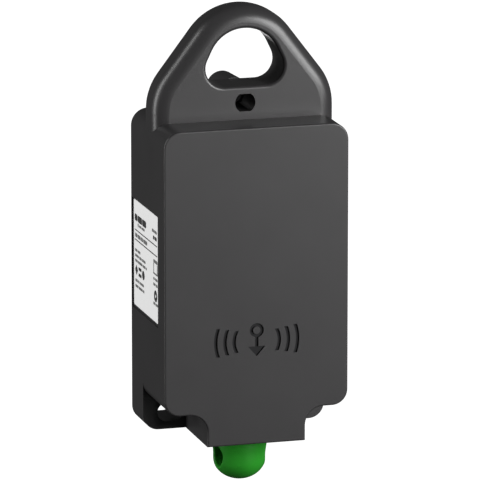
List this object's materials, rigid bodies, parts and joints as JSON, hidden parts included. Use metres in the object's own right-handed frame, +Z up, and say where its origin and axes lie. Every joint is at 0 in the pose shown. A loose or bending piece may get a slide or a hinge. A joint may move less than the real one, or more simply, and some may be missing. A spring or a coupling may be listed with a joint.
{
  "type": "cord-pull radio switch",
  "caption": "Box-shaped dark moulded cord-pull radio switch with a D-shaped hanging loop on top, screw lugs below and a green cord eye that slides down",
  "frame": {"origin": "middle of the case's flat back face, half way up the case without the loop", "axes": "+Z up, from the cord eye to the hanging loop; +Y out of the back into the wall; +X to the right seen from the front, which faces -Y"},
  "size_m": [0.06, 0.04, 0.1541],
  "materials": {
    "case_plastic": "fine spark-eroded texture, charcoal",
    "eye_plastic": "satin green moulding",
    "label_film": "satin white polyester film",
    "seal_rubber": "matt black nitrile rubber",
    "zinc_steel": "zinc-plated",
    "spring_steel": "drawn wire",
    "insert_brass": "turned",
    "bush_acetal": "natural acetal",
    "carrier_plastic": "grey moulding",
    "bobbin_plastic": "black moulding",
    "copper": "enamelled copper wire",
    "soft_iron": "stamped soft iron",
    "magnet_nickel": "nickel-plated magnet",
    "board_laminate": "green solder mask",
    "chip_resin": "moulded epoxy",
    "capacitor_can": "drawn can",
    "tin_shield": "tinned sheet"
  },
  "bodies": {
    "case": {"main_housing": "case_plastic", "rear_cover": "case_plastic", "cover_gasket": "seal_rubber", "cover_screws": "zinc_steel", "cover_inserts": "insert_brass", "rating_label": "label_film", "guide_bush": "bush_acetal", "stem_seal": "seal_rubber", "bump_stop": "seal_rubber", "stop_sleeve": "zinc_steel", "return_spring": "spring_steel", "lever_pivot_pin": "zinc_steel", "rocker_pin": "zinc_steel", "iron_core": "soft_iron", "coil_bobbin": "bobbin_plastic", "coil_winding": "copper", "coil_terminals": "insert_brass", "generator_frame": "bush_acetal", "generator_screws": "zinc_steel", "inner_carrier": "carrier_plastic", "carrier_screws": "zinc_steel", "circuit_board": "board_laminate", "board_screws": "zinc_steel", "radio_shield": "tin_shield", "radio_chip": "chip_resin", "storage_capacitors": "capacitor_can", "rectifier_diodes": "chip_resin", "antenna_coil": "copper"},
    "pull": {"pull_eye": "eye_plastic", "pull_rod": "zinc_steel", "eye_cross_pin": "zinc_steel", "spring_collar": "zinc_steel", "retaining_clip": "spring_steel", "drive_pin": "zinc_steel"},
    "lever": {"transfer_lever": "bush_acetal"},
    "rocker": {"rocker_carrier": "bobbin_plastic", "rocker_magnet": "magnet_nickel", "upper_pole_plate": "soft_iron", "lower_pole_plate": "soft_iron"}
  },
  "joints": [
    {"name": "pull_travel", "type": "slide", "parent": "case", "child": "pull", "axis": [0, 0, -1], "range_m": [0, 0.008], "stiffness_N_per_m": 2000, "springref_m": -0.003, "deforming": ["return_spring"]},
    {"name": "lever_turn", "type": "hinge", "parent": "case", "child": "lever", "pos_m": [0.014, -0.02, 0], "axis": [0, -1, 0], "range_deg": [0, 31.9]},
    {"name": "rocker_turn", "type": "hinge", "parent": "case", "child": "rocker", "pos_m": [0.004, -0.02, 0.0126], "axis": [0, -1, 0], "range_deg": [0, 9.11]}
  ],
  "couplings": [
    {"joint": "lever_turn", "follows": "pull_travel", "rad_per_m": 69.575},
    {"joint": "rocker_turn", "follows": "pull_travel", "rad_per_m": 19.853}
  ]
}
